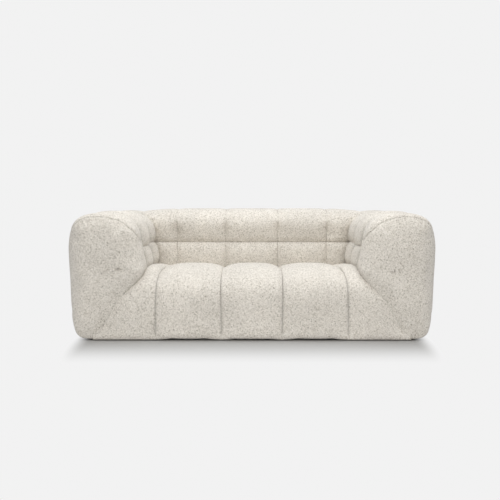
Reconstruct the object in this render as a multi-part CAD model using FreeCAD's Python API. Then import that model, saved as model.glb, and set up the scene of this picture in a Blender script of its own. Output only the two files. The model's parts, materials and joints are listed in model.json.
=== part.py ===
"""Channel-quilted tuxedo sofa with rolled arms: timber frame, sinuous springs, foam, quilted pads and glides.

Frame: origin on the floor under the middle of the sofa, +X to the viewer's right, +Y to the rear, +Z up.
Each pad is one stuffed channel of the cover: crowned in the middle and drawn in at its seams.
"""
import FreeCAD
import Part

import math
import os

V = FreeCAD.Vector

# Driving dimensions, in millimetres
overall_width = 2042.0
overall_depth = 1000.0
overall_height = 705.0
seam_gap = 1.0                 # between neighbouring channels of the cover
pad_thickness = 54.0           # stuffed channel, crown to foam
channel_valley = 20.0          # how far a seam lies below the crown beside it
seat_valley = 26.0
pinch_height = 498.0           # the horizontal quilting seam
outer_seam_height = 582.0      # where the quilted top ends on the outside
arm_hem = 4.0                  # bottom edges above the floor
seat_hem = 5.0
outside_hem = 11.0
front = -overall_depth / 2.0
rear = overall_depth / 2.0

# Arm section: a superellipse over straight sides
arm_half_outer = 186.0
arm_half_inner = 220.0
arm_centre_x = overall_width / 2.0 - arm_half_outer
arm_shoulder = 470.0
arm_rise = overall_height - arm_shoulder
arm_power = 2.6
arm_foot = [(1010, 250), (997, 110), (980, 50), (945, 15), (905, arm_hem)]
arm_slope = [(856, arm_hem), (795, 90), (738, 200), (640, 316), (594, 384)]
arm_seams = [-262.0, 0.0, 262.0]   # across the arm, front to rear
arm_face = front + 6.0             # front panel of the arm
cap_thickness = 58.0               # arm's front and rear pads
slope_reach = 922.0                # behind the slope and under the rear the arm is open up to here
slope_top = 345.0

# Seat: crown outline from under the back, over the front edge and down to the hem
seat_outline = [(214, 351), (0, 376), (-190, 395), (-330, 387), (-425, 352),
                (-480, 300), (-500, 225), (-500, 120), (-497, 50), (-488, seat_hem)]
seat_seams = [170.0, 512.0]        # either side of the middle
seat_seam_flare = 22.0             # the outer seam runs this much further out at the hem

# Back: lower pads, then the roll from the pinch over the top to the outside seam
back_lower_outline = [(196, 346), (196, 392), (209, 446), (243, 507)]
back_roll_outline = [(247, 490), (214, 538), (202, 600), (222, 662), (280, 697), (360, 705),
                     (440, 696), (486, 658), (500, 610), (494, outer_seam_height)]
back_seams = [168.0, 483.0]
back_end = 770.0                   # the back runs into the arm's roll
back_pad_thickness = 46.0
outside_back_half = 880.0          # vertical seams of the outside back

# Timber frame
board = 18.0
timber = 25.0
batten_wide = 45.0
frame_foot = 16.0                  # underside of the timber
rail_top = 214.0
base_half_width = 700.0
base_front = front + pad_thickness + 12.0
base_rear = 437.0
spring_rail_front = 222.0
back_frame_front = 292.0
back_frame_rear = base_rear - timber
back_frame_top = 612.0
back_rib_places = [-569.0, -300.0, 0.0, 300.0, 569.0]
arm_rib_places = [-417.0, 0.0, 417.0]
board_depth = 93.0                 # arm's crown line to the hardboard under its foam
hardboard = 3.0
arm_frame_outer = overall_width / 2.0 - board_depth - hardboard - 1.0

# Springs, glides and fasteners
wire_radius = 1.9
spring_pitch = 26.0                # one bar of the zigzag to the next
spring_half_width = 24.0
spring_places = [-490, -350, -210, -70, 70, 210, 350, 490]
spring_height = rail_top + 3.4
tie_wire_radius = 1.2
tie_wire_places = [-210.0, 10.0]
bolt_radius = 4.0
bolt_height = 95.0
arm_bolt_places = [-260.0, 60.0, 330.0]
back_bolt_places = [-450.0, -150.0, 150.0, 450.0]
glide_radius = 18.0
glide_places = [(x, y) for x in (-865.0, 0.0, 865.0) for y in (-417.0, 417.0)]
screw_radius = 2.3
dust_cover_half = (900.0, 430.0)


def plane_xz(y):
    """Places a section point (across, up) at depth y."""
    return lambda p: V(p[0], y, p[1])


def plane_yz(x):
    """Places a section point (deep, up) at width x."""
    return lambda p: V(x, p[0], p[1])


def spline(points, place):
    """A smooth edge through section points."""
    curve = Part.BSplineCurve()
    curve.interpolate([place(p) for p in points])
    return curve.toShape()


def closed_wire(point_lists, place):
    """One closed wire: each list is a smooth run, and straight lines join the runs' ends."""
    edges = []
    for number, points in enumerate(point_lists):
        following = point_lists[(number + 1) % len(point_lists)]
        if len(points) > 2:
            edges.append(spline(points, place))
        else:
            edges.append(Part.makeLine(place(points[0]), place(points[-1])))
        end, start = place(points[-1]), place(following[0])
        if end.distanceToPoint(start) > 1e-6:
            edges.append(Part.makeLine(end, start))
    return Part.Wire(edges)


def prism(point_lists, place, length):
    """A section pushed along the normal of its plane."""
    return Part.Face(closed_wire(point_lists, place)).extrude(length)


def box(x, y, z):
    """A box from three (low, high) ranges."""
    return Part.makeBox(x[1] - x[0], y[1] - y[0], z[1] - z[0], V(x[0], y[0], z[0]))


def mirrored(shape):
    return shape.mirror(V(0, 0, 0), V(1, 0, 0))


def walk(outline, first, last, count):
    """Evenly spaced (point, inward normal) pairs along an outline, between two shares of its length."""
    curve = Part.BSplineCurve()
    curve.interpolate([V(a, b, 0) for a, b in outline])
    total = curve.length()
    pairs = []
    for step in range(count):
        share = first + (last - first) * step / (count - 1)
        at = curve.parameterAtDistance(total * share, curve.FirstParameter)
        point, along = curve.value(at), curve.tangent(at)[0]
        pairs.append(((point.x, point.y), (-along.y, along.x)))
    return pairs


def moved_in(pairs, depths):
    return [(p[0] + n[0] * d, p[1] + n[1] * d) for (p, n), d in zip(pairs, depths)]


def channel(outline, plane, low, high, valley, inward, share=(0.0, 1.0), count=11, end_power=9,
            thickness=pad_thickness):
    """One stuffed channel: a loft across the channel from seam to crown to seam.

    outline is the crown line, inward is 1 or -1 for the side that the stuffing lies on,
    and the outer surface sinks by valley at the two seams and at the outline's ends.
    """
    pairs = walk(outline, share[0], share[1], count)
    pairs = [(p, (n[0] * inward, n[1] * inward)) for p, n in pairs]
    ends = [abs(2.0 * step / (count - 1) - 1.0) ** end_power for step in range(count)]
    middle, half = (low + high) / 2.0, (high - low) / 2.0 - seam_gap / 2.0
    sections = []
    for across in (-1.0, -0.88, -0.6, 0.0, 0.6, 0.88, 1.0):
        arch = 1.0 - abs(across) ** 3
        sunk = [valley * (1.0 - arch * (1.0 - end)) for end in ends]
        outer = moved_in(pairs, sunk)
        inner = moved_in(pairs, [thickness] * count)
        sections.append(closed_wire([outer, inner[::-1]], plane(middle + across * half)))
    return Part.makeLoft(sections, True, False)


def superellipse(angle):
    """A point of the arm's roll; 0 degrees is outside, 90 the top and 180 inside."""
    c, s = math.cos(math.radians(angle)), math.sin(math.radians(angle))
    half = arm_half_outer if c > 0 else arm_half_inner
    return (arm_centre_x + math.copysign(half * abs(c) ** (2 / arm_power), c),
            arm_shoulder + arm_rise * abs(s) ** (2 / arm_power))


arm_roll = [superellipse(a) for a in (174, 165, 150, 132, 112, 90, 68, 48, 30, 14, 3)]
arm_outline = [(596, 378), (602, 425)] + arm_roll + arm_foot


def inset(points, distance):
    """The arm's outline drawn in towards its middle by about a distance."""
    centre = (arm_centre_x, overall_height / 2.0)
    half = ((arm_half_outer + arm_half_inner) / 2.0, overall_height / 2.0)
    scale = [(h - distance) / h for h in half]
    return [(centre[0] + (x - centre[0]) * scale[0], centre[1] + (z - centre[1]) * scale[1])
            for x, z in points]


def arm_solid(distance, y_low, y_high):
    """The full arm section, foot and slope included, between two depths."""
    roll = inset([arm_slope[-1], (604, 430)] + arm_roll + arm_foot, distance)
    slope = inset(arm_slope, distance)
    return prism([slope, roll], plane_xz(y_low), V(0, y_high - y_low, 0))


def arm_share(height, outside):
    """Where along the arm's outline, as a share of its length, it reaches a height on one side."""
    pairs = walk(arm_outline, 0.0, 1.0, 400)
    side = [(step / 399.0, p) for step, (p, n) in enumerate(pairs) if (p[0] > arm_centre_x) == outside]
    return min(side, key=lambda item: abs(item[1][1] - height))[0]


def rounded(shape, radius, chosen):
    """Rounds the edges that a test picks; keeps the sharp shape if the kernel can't."""
    edges = [edge for edge in shape.Edges if chosen(edge)]
    if not edges:
        raise ValueError("no edge to round")
    return shape.makeFillet(radius, edges)


def at_depth(y):
    return lambda edge: all(abs(v.Y - y) < 0.01 for v in edge.Vertexes) and edge.Length > 30


def arm_pads():
    """The cover of the right arm: front panel, top gusset, channels, rear corner and outside."""
    pinch = arm_share(pinch_height, False)
    outside = arm_share(outer_seam_height, True)
    gap = 0.002
    pads = {}
    front_seam, middle_seam, rear_seam = arm_seams
    whole = rounded(arm_solid(0, arm_face, front_seam - seam_gap / 2), 42.0, at_depth(arm_face))
    front_hollow = (arm_face + cap_thickness, front_seam + 10.0)
    cap = whole.cut(arm_solid(pad_thickness, *front_hollow))
    cap = cap.cut(box((500, slope_reach), front_hollow, (-30, slope_top)))
    seam_line = [(arm_face + 14, overall_height + 40), (arm_face + 20, 668), (arm_face + 58, 600),
                 (front_seam + 60, 556), (front_seam + 20, 548)]
    above = [seam_line, [(front_seam + 20, 548), (front_seam + 20, overall_height + 40)]]
    gusset_room = prism(above, plane_yz(500.0), V(700, 0, 0))
    lower = [(y - seam_gap, z) for y, z in seam_line[:2]] + [(y, z - seam_gap) for y, z in seam_line[2:]]
    panel_cut = prism([lower, [(front_seam + 20, 548 - seam_gap), (front_seam + 20, overall_height + 40)]],
                      plane_yz(500.0), V(700, 0, 0))
    pads["front_panel"] = cap.cut(panel_cut)
    pads["top_gusset"] = cap.common(gusset_room)
    for name, low, high in (("second", front_seam, middle_seam), ("third", middle_seam, rear_seam)):
        pads[name + "_channel_top"] = channel(arm_outline, plane_xz, low, high, channel_valley, -1,
                                              (pinch + gap, outside - gap), count=15, end_power=11)
        pads[name + "_channel_inside"] = channel(arm_outline, plane_xz, low, high, channel_valley, -1,
                                                 (0.0, pinch - gap), count=7, end_power=5)
    rear_whole = rounded(arm_solid(0, rear_seam + seam_gap / 2, rear), 42.0, at_depth(rear))
    rear_hollow = (rear_seam - 10.0, rear - cap_thickness)
    rear_cap = rear_whole.cut(arm_solid(pad_thickness, *rear_hollow))
    rear_cap = rear_cap.cut(box((500, slope_reach), rear_hollow, (-30, slope_top)))
    over = box((500, 1100), (rear_seam - 5, rear + 5), (outer_seam_height, overall_height + 20))
    pads["rear_corner"] = rear_cap.common(over)
    wrap = rear_cap.cut(box((500, 1100), (rear_seam - 5, rear + 5),
                            (outer_seam_height - seam_gap, overall_height + 20)))
    wrap = wrap.cut(box((500, outside_back_half), (rear_seam - 5, rear + 5), (-30, overall_height)))
    pads["outside_rear"] = wrap
    pads["outside"] = outer_panel(outside + gap)
    return pads


def arm_band(first, last, low_depth, high_depth, y_low, y_high, count=15):
    """A layer of the arm that follows its outline, between two shares of it and two depths under it."""
    pairs = [(p, (-n[0], -n[1])) for p, n in walk(arm_outline, first, last, count)]
    outer = moved_in(pairs, [low_depth] * count)
    inner = moved_in(pairs, [high_depth] * count)
    return prism([outer, inner[::-1]], plane_xz(y_low), V(0, y_high - y_low, 0))


def outer_panel(share):
    """The plain outside of the arm, between the front panel and the rear corner."""
    return arm_band(share, 1.0, 0.0, 46.0, arm_seams[0] + seam_gap / 2, arm_seams[2] - seam_gap / 2, 9)


def seat_pads():
    """The seat's channels run from under the back, over the front edge and down to the hem."""
    inner_seam, outer_seam = seat_seams
    middle = channel(seat_outline, plane_yz, -inner_seam, inner_seam, seat_valley, 1, count=17, end_power=24)
    wide = channel(seat_outline, plane_yz, inner_seam, outer_seam + seat_seam_flare + 5, seat_valley, 1,
                   count=17, end_power=24)
    seam_run = [(outer_seam, 450), (outer_seam, 345), (outer_seam + 0.4 * seat_seam_flare, 250),
                (outer_seam + 0.8 * seat_seam_flare, 120), (outer_seam + seat_seam_flare, -20)]
    beyond = [(1200, -20), (1200, 450)]
    outer_room = prism([seam_run, beyond], plane_xz(front - 20), V(0, overall_depth, 0))
    wide = wide.cut(outer_room)
    end = channel(seat_outline, plane_yz, outer_seam - 5, 880, seat_valley, 1, count=17, end_power=24)
    shifted = outer_room.copy()
    shifted.translate(V(seam_gap, 0, 0))
    envelope = arm_solid(0, front - 30, rear)
    envelope.translate(V(-seam_gap, 0, 0))
    end = end.common(shifted).cut(envelope)
    return {"middle": middle, "wide": wide, "end": end}


def back_pads():
    """Five lower channels and five of the roll; the end ones are cut to the arm's section."""
    inner_seam, outer_seam = back_seams
    pads = {}
    envelope = arm_solid(0, front, rear + 60)
    envelope.translate(V(-seam_gap, 0, 0))
    rows = (("lower", back_lower_outline, 7, 9), ("roll", back_roll_outline, 11, 17))
    for name, outline, power, count in rows:
        ranges = {"middle": (-inner_seam, inner_seam), "wide": (inner_seam, outer_seam),
                  "end": (outer_seam, back_end)}
        for place, (low, high) in ranges.items():
            pad = channel(outline, plane_yz, low, high, channel_valley, -1, count=count, end_power=power,
                          thickness=back_pad_thickness)
            pads[name, place] = pad.cut(envelope) if place == "end" else pad
    return pads


def outside_back():
    """The plain outside of the back, with a rounded top edge and hem."""
    panel = box((-outside_back_half + seam_gap, outside_back_half - seam_gap), (rear - 52.0, rear - 4.0),
                (outside_hem, outer_seam_height - 2 * seam_gap))
    return rounded(panel, 10.0, lambda edge: all(v.Y > rear - 5 for v in edge.Vertexes))


def drilled(shape, holes):
    for hole in holes:
        shape = shape.cut(hole)
    return shape


def rod(radius, start, length, direction):
    return Part.makeCylinder(radius, length, V(*start), V(*direction))


def both_sides(shape):
    return Part.makeCompound([shape, mirrored(shape)])


def arm_bolt_holes(radius, start, length):
    return [rod(radius, (start, y, bolt_height), length, (1, 0, 0)) for y in arm_bolt_places]


def back_bolt_holes(radius, start, length):
    return [rod(radius, (x, start, bolt_height), length, (0, 1, 0)) for x in back_bolt_places]


def pilot_holes():
    """Where the glides' screws go into the timber."""
    return [rod(screw_radius, (x, y, frame_foot - 1), 26.0, (0, 0, 1)) for x, y in glide_places]


def base_parts():
    """The seat's box frame: rails, stretchers and corner blocks."""
    tall = (frame_foot, rail_top)
    wide = (-base_half_width, base_half_width)
    clearance = bolt_radius + 0.3
    inner = base_half_width - timber
    front_rail = drilled(box(wide, (base_front, base_front + timber), tall), pilot_holes())
    rear_rail = drilled(box(wide, (base_rear - timber, base_rear), (frame_foot, rail_top - 30)),
                        pilot_holes() + back_bolt_holes(clearance, base_rear - timber - 1, timber + 2))
    side = drilled(box((inner, base_half_width), (base_front + timber, base_rear - timber), tall),
                   arm_bolt_holes(clearance, inner - 1, timber + 2))
    spring_rail = box((-inner, inner), (spring_rail_front, spring_rail_front + timber), tall)
    stretchers = []
    for x in (-225.0, 225.0):
        across = (x - timber / 2, x + timber / 2)
        stretchers.append(box(across, (base_front + timber, spring_rail_front), (frame_foot, 110)))
        stretchers.append(box(across, (spring_rail_front + timber, back_frame_rear - timber),
                              (frame_foot, 110)))
    blocks = []
    leg = 85.0
    for x, y, toward in ((inner, base_front + timber, 1), (inner, spring_rail_front, -1)):
        corner = Part.makePolygon([V(x, y, 50), V(x - leg, y, 50), V(x, y + toward * leg, 50), V(x, y, 50)])
        blocks.append(Part.Face(corner).extrude(V(0, 0, 110)))
    blocks += [mirrored(block) for block in blocks]
    return {"base_front_rail": front_rail, "base_rear_rail": rear_rail, "base_spring_rail": spring_rail,
            "base_side_rails": both_sides(side), "base_stretchers": Part.makeCompound(stretchers),
            "base_corner_blocks": Part.makeCompound(blocks)}


def arm_battens():
    """Long battens that tie the arm's ribs together; the lowest carries the arm's bolts."""
    run = (arm_rib_places[0] - board / 2, arm_rib_places[-1] + board / 2)
    lowest = box((base_half_width, base_half_width + timber), run, (45, 145))
    lowest = drilled(lowest, arm_bolt_holes(bolt_radius + 0.3, base_half_width - 1, timber + 2)
                     + arm_bolt_holes(5.2, base_half_width + timber - 9, 10))
    return [lowest,
            box((arm_centre_x - batten_wide / 2, arm_centre_x + batten_wide / 2), run, (578, 603)),
            box((arm_frame_outer - 21, arm_frame_outer), run, (440, 485)),
            box((725, 746), run, (440, 485)),
            box((arm_frame_outer - 47, arm_frame_outer - 22), run, (30, 75))]


def arm_frame():
    """The right arm's ribs, battens, hardboard and foam."""
    depth = board_depth + hardboard + 1.0
    first, last = 0.0, arm_share(120.0, True)
    pairs = [(p, (-n[0], -n[1])) for p, n in walk(arm_outline, first, last, 15)]
    edge = moved_in(pairs, [depth] * 15)
    foot = [(edge[-1][0], frame_foot), (base_half_width, frame_foot)]
    shoulder = [(base_half_width, edge[0][1]), edge[0]]
    battens = arm_battens()
    ribs = []
    for y in arm_rib_places:
        rib = prism([edge, foot, shoulder], plane_xz(y - board / 2), V(0, board, 0))
        window = rounded(box((775, 875), (y - board, y + board), (170, 400)), 35.0,
                         lambda side: abs(side.Vertexes[0].Y - side.Vertexes[-1].Y) > board)
        ribs.append(drilled(rib, [window] + battens + pilot_holes()))
    y_low, y_high = arm_face + cap_thickness + 1.0, rear - cap_thickness - 1.0
    sheet_end = arm_share(150.0, True)
    sheet = arm_band(0.0, sheet_end, board_depth, board_depth + hardboard, y_low, y_high)
    foam = arm_band(0.0, sheet_end, pad_thickness + 2.0, board_depth, y_low, y_high)
    foam = foam.common(arm_solid(pad_thickness + 2.0, y_low, y_high))
    return {"ribs": Part.makeCompound(ribs), "battens": Part.makeCompound(battens), "board": sheet,
            "foam": foam}


def back_parts():
    """The back's ribs, rails, webbing and foam."""
    span = (back_rib_places[0] - board / 2, back_rib_places[-1] + board / 2)
    at_front = (back_frame_front, back_frame_front + timber)
    at_rear = (back_frame_rear - timber, back_frame_rear)
    pinch_rail = box(span, at_front, (pinch_height - 22, pinch_height + 23))
    lumbar_rail = box(span, at_front, (300, 345))
    seam_rail = box(span, at_rear, (outer_seam_height - 45, outer_seam_height))
    bolt_rail = drilled(box(span, at_rear, (45, 145)),
                        back_bolt_holes(bolt_radius + 0.3, back_frame_rear - timber - 1, timber + 2)
                        + back_bolt_holes(5.2, back_frame_rear - timber - 1, 10))
    top_board = box(span, (back_frame_front, back_frame_rear), (back_frame_top, back_frame_top + board))
    rails = [pinch_rail, lumbar_rail, seam_rail, bolt_rail, top_board]
    ribs = [drilled(box((x - board / 2, x + board / 2), (back_frame_front, back_frame_rear),
                        (frame_foot, back_frame_top)), rails) for x in back_rib_places]
    straps = [box(span, (back_frame_front - 2.5, back_frame_front - 0.5), (z, z + 50))
              for z in (362, 422, 530)]
    core = box((span[0] - 40, span[1] + 40), (back_frame_front - 3.0, back_frame_rear + 1.0),
               (200, back_frame_top + board + 1))
    lower = moved_in([(p, (-n[0], -n[1])) for p, n in walk(back_lower_outline, 0.0, 1.0, 7)],
                     [back_pad_thickness + 2.0] * 7)
    roll = moved_in([(p, (-n[0], -n[1])) for p, n in walk(back_roll_outline, 0.0, 1.0, 15)],
                    [back_pad_thickness + 2.0] * 15)
    closing = [(roll[-1][0], roll[-1][1]), (roll[-1][0], 400), (lower[0][0], lower[0][1])]
    outline = [lower, roll, [closing[0], closing[1]], [closing[1], closing[2]]]
    foam = prism(outline, plane_yz(span[0] - 8), V(span[1] - span[0] + 16, 0, 0)).cut(core)
    foam = foam.cut(box((span[0] - 40, span[1] + 40), (rear - 58.0, rear), (200, outer_seam_height)))
    return {"back_ribs": Part.makeCompound(ribs), "back_rails": Part.makeCompound(rails),
            "back_webbing": Part.makeCompound(straps), "back_foam": foam}


def sinuous_spring(x):
    """One zigzag spring: straight bars joined by half turns, from the front rail to the spring rail."""
    y_start = base_front + timber / 2
    bars = int((spring_rail_front + timber / 2 - y_start) / spring_pitch) + 1
    pitch = (spring_rail_front + timber / 2 - y_start) / (bars - 1)
    bend = pitch / 2
    straight = spring_half_width - bend
    edges = []
    side = 1
    for bar in range(bars):
        y = y_start + bar * pitch
        a = V(x - side * straight, y, spring_height)
        b = V(x + side * straight, y, spring_height)
        edges.append(Part.makeLine(a, b))
        if bar < bars - 1:
            apex = V(x + side * (straight + bend), y + bend, spring_height)
            edges.append(Part.Arc(b, apex, V(x + side * straight, y + pitch, spring_height)).toShape())
        side = -side
    start = V(x - straight, y_start, spring_height)
    section = Part.Wire(Part.makeCircle(wire_radius, start, V(1, 0, 0)))
    return Part.Wire(edges).makePipeShell([section], True, False)


def spring_clip(x, y):
    """A steel clip: a hook round the spring's end bar and a tongue that lies on the rail."""
    long = 20.0
    ring = rod(3.3, (x - long / 2, y, spring_height), long, (1, 0, 0))
    tongue = box((x - long / 2, x + long / 2), (y, y + 11.0), (rail_top, rail_top + 1.2))
    return ring.fuse(tongue).cut(rod(2.1, (x - long, y, spring_height), 2 * long, (1, 0, 0)))


def seat_parts():
    """Springs, clips, tie wires, felt and the foam block."""
    y_front, y_rear = base_front + timber / 2, spring_rail_front + timber / 2
    springs = [sinuous_spring(x) for x in spring_places]
    fittings = [spring_clip(x, y) for x in spring_places for y in (y_front, y_rear)]
    tie_height = spring_height + wire_radius + tie_wire_radius + 0.1
    fittings += [rod(tie_wire_radius, (-520, y, tie_height), 1040, (1, 0, 0)) for y in tie_wire_places]
    half = arm_slope[-1][0] - 6.0
    felt_low, felt_high = rail_top + 10.0, rail_top + 14.0
    felt = box((-half, half), (base_front, spring_rail_front + timber), (felt_low, felt_high))
    top = moved_in(walk(seat_outline, 0.0, 0.74, 13), [pad_thickness + 2.0] * 13)
    top = [p for p in top if p[1] > felt_high + 6]
    top.append((top[-1][0], felt_high))
    foam = prism([top, [top[-1], (top[0][0], felt_high)], [(top[0][0], felt_high), top[0]]],
                 plane_yz(-half), V(2 * half, 0, 0))
    return {"seat_springs": Part.makeCompound(springs), "spring_clips_and_ties": Part.makeCompound(fittings),
            "seat_felt": felt, "seat_foam": foam}


def bolt_set(start, direction, grip):
    """A bolt with its washer at the head and its tee nut let into the far timber."""
    d = V(*direction)
    at = lambda distance: (V(*start) + d * distance)[:]
    washer_thick = 1.6
    bolt = rod(bolt_radius, at(-washer_thick), grip + washer_thick + 6, direction)
    head = rod(8.0, at(-washer_thick - 5.0), 5.0, direction)
    socket = rod(3.0, at(-washer_thick - 5.0), 3.0, direction)
    washer = rod(12.0, at(-washer_thick), washer_thick, direction).cut(
        rod(bolt_radius + 0.2, at(-washer_thick), washer_thick, direction))
    nut = rod(11.0, at(grip), 1.5, direction).fuse(rod(5.1, at(grip - 8.5), 8.5, direction))
    nut = nut.cut(rod(bolt_radius + 0.05, at(grip - 20), 40, direction))
    return [bolt.fuse(head).cut(socket), washer, nut]


def frame_bolts():
    pieces = []
    for y in arm_bolt_places:
        for piece in bolt_set((base_half_width - timber, y, bolt_height), (1, 0, 0), 2 * timber):
            pieces += [piece, mirrored(piece)]
    for x in back_bolt_places:
        pieces += bolt_set((x, base_rear, bolt_height), (0, -1, 0), 2 * timber)
    return Part.makeCompound(pieces)


def glides():
    """Moulded glides, each held by a countersunk screw from below."""
    pucks, screws = [], []
    for x, y in glide_places:
        puck = rounded(rod(glide_radius, (x, y, 0), frame_foot, (0, 0, 1)), 2.0,
                       lambda edge: all(v.Z < 0.01 for v in edge.Vertexes))
        puck = puck.cut(rod(screw_radius + 0.3, (x, y, -1), frame_foot + 2, (0, 0, 1)))
        puck = puck.cut(rod(5.5, (x, y, -1), 7.0, (0, 0, 1)))
        pucks.append(puck)
        head = rod(4.6, (x, y, 3.4), 2.6, (0, 0, 1))
        screws.append(head.fuse(rod(screw_radius, (x, y, 5.0), 34.0, (0, 0, 1))))
    return Part.makeCompound(pucks), Part.makeCompound(screws)


def dust_cover():
    """Thin cloth stapled under the whole frame, cut out round the glides."""
    sheet = box((-dust_cover_half[0], dust_cover_half[0]), (-dust_cover_half[1], dust_cover_half[1]),
                (frame_foot - 1.2, frame_foot - 0.2))
    return drilled(sheet, [rod(glide_radius + 2, (x, y, 0), 30, (0, 0, 1)) for x, y in glide_places])


def save(name, shape):
    if not shape.isValid() or shape.Volume <= 0:
        raise ValueError(name + " is not a sound solid")
    shape.exportStep("parts/" + name + ".step")


def save_pair(stem, tail, shape):
    save(stem + "right_" + tail, shape)
    save(stem + "left_" + tail, mirrored(shape))


def main():
    os.makedirs("parts", exist_ok=True)
    for name, piece in {**arm_pads(), **arm_frame()}.items():
        save_pair("arm_", name, piece)
    for place, pad in seat_pads().items():
        if place == "middle":
            save("seat_channel_middle", pad)
        else:
            save_pair("seat_channel_", place, pad)
    for (row, place), pad in back_pads().items():
        if place == "middle":
            save("back_" + row + "_middle", pad)
        else:
            save_pair("back_" + row + "_", place, pad)
    pucks, screws = glides()
    single = {**base_parts(), **back_parts(), **seat_parts(), "outside_back": outside_back(),
              "frame_bolts": frame_bolts(), "glides": pucks, "glide_screws": screws,
              "dust_cover": dust_cover()}
    for name, piece in single.items():
        save(name, piece)


main()
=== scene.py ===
"""Channel-quilted tuxedo sofa with rolled arms: stuffed pads of nubbly cloth over a sprung timber frame."""

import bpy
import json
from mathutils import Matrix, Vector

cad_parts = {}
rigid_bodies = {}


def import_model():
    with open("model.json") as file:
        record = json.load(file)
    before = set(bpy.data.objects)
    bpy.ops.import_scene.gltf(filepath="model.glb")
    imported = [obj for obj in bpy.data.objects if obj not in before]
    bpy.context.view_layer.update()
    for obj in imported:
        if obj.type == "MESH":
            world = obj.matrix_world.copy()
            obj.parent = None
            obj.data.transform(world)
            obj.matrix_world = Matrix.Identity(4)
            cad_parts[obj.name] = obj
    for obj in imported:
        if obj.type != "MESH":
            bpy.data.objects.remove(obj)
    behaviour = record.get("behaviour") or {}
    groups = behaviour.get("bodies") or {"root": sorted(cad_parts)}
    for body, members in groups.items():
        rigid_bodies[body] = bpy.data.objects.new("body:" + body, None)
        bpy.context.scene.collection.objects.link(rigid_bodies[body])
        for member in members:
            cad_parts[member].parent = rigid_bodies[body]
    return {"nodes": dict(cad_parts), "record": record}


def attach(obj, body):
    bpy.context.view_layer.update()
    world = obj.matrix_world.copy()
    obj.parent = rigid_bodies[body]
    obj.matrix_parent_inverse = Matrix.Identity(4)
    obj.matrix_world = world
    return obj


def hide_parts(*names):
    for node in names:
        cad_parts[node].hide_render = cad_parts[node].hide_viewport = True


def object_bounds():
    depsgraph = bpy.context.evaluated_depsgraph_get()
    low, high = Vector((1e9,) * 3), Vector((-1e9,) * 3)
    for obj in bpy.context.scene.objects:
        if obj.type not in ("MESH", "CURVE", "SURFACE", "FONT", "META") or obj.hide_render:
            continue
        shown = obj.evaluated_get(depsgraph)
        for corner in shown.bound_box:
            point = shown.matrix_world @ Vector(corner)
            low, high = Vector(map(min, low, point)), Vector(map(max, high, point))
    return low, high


bl_info = {
    "name": "Channel-quilted tuxedo sofa",
    "version": (1, 0, 0),
    "blender": (4, 5, 0),
    "location": "View3D > Sidebar > Sofa",
    "description": "Makes the cover of a channel-quilted tuxedo sofa, its finishes and its studio",
    "category": "Add Mesh",
}

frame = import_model()

import json
import math
from bisect import bisect_right
from collections import Counter

import bmesh
import bpy
from bpy.props import FloatProperty, FloatVectorProperty, IntProperty, PointerProperty
from bpy.types import Operator, Panel, PropertyGroup
from mathutils import Vector, kdtree

cad_low, cad_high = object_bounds()
DEPTH = cad_high.y - cad_low.y
HEIGHT = cad_high.z
FRONT = -DEPTH / 2
REAR = DEPTH / 2

# Sections of the sofa, in metres: (across, up) for the arm, (deep, up) for the seat and the back
ARM_HALF_OUTER = 0.186
ARM_HALF_INNER = 0.220
ARM_CENTRE = 0.835
ARM_SHOULDER = 0.470
ARM_TOP = HEIGHT - 0.005
ARM_POWER_OUTER = 2.6
ARM_POWER_INNER = 3.2
ARM_FOOT = [(1.017, 0.35), (1.008, 0.23), (0.996, 0.125), (0.981, 0.060), (0.962, 0.024), (0.934, 0.009),
            (0.90, 0.005)]
ARM_SLOPE = [(0.872, 0.005), (0.852, 0.012), (0.795, 0.089), (0.764, 0.148), (0.735, 0.202), (0.695, 0.251),
             (0.640, 0.316), (0.606, 0.360)]
ARM_INSIDE = [(0.594, 0.395), (0.602, 0.435)]
ARM_SEAMS = (-0.262, 0.0, 0.262)
ARMS = ((1, "right"), (-1, "left"))
ARM_SHOULDER_REACH = 0.131
ARM_ROUNDNESS = 0.8
CHANNEL_FOOT = 0.312
ARM_FLAT_TOP = 0.0005
SEAT_LINE = [(0.214, 0.343), (0.0, 0.369), (-0.19, 0.389), (-0.33, 0.382), (-0.425, 0.348), (-0.477, 0.300),
             (-0.496, 0.225), (-0.497, 0.12), (-0.498, 0.05), (-0.495, 0.015), (-0.486, 0.0055),
             (-0.452, 0.0065)]
LOWER_LINE = [(0.204, 0.300), (0.197, 0.37), (0.199, 0.43), (0.204, 0.462), (0.213, 0.480),
              (0.223, 0.487)]
ROLL_LINE = [(0.223, 0.487), (0.214, 0.502), (0.210, 0.54), (0.205, 0.595), (0.217, 0.650), (0.27, 0.684),
             (0.36, 0.692), (0.44, 0.685), (0.486, 0.652), (0.50, 0.61), (0.497, 0.584)]

# Depths and reaches of the seams, in metres, and the spacing of the small folds beside them
DEEPEST_SEAM = 0.058
PLAIN_SEAM = 0.006
PLAIN_REACH = 0.04
PANEL_SEAM_REACH = 0.024
LEVEL_REACH = 0.05
ROLL_END_REACH = 0.085
PUCKER_RATE = 2.0 * math.pi / 0.031
PUCKER_DEPTH = 0.0022

# The arm's front face, its panel's middle, the edges' round, and how the panel is smoothed and held
ARM_FACE = FRONT + 0.002
PANEL_CENTRE = Vector((0.815, 0.40))
EDGE_RADIUS = 0.042
FACE_PASSES = 30
CENTRE_PASSES = 60
CENTRE_REACH = 0.10
SEWN_REACH = 0.11

# Painted shade in the seams: how much darker the cloth is painted in a seam, low and high on the arms and
# along the seat's front, and how wide the painted shade is
ARM_PAINTED_SHADES = (0.27, 0.12)
ARM_PAINTED_SHADE_WIDTH = 0.034
SEAT_PAINTED_SHADE = 0.24
SEAT_PAINTED_SHADE_WIDTH = 0.0075

# How the cloth behaves while it is stuffed
CLOTH = {"vertex_group_mass": "seams", "quality": 4, "mass": 0.4, "tension_stiffness": 12.0,
         "compression_stiffness": 12.0, "shear_stiffness": 6.0, "bending_stiffness": 0.4,
         "use_pressure": True}

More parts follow.
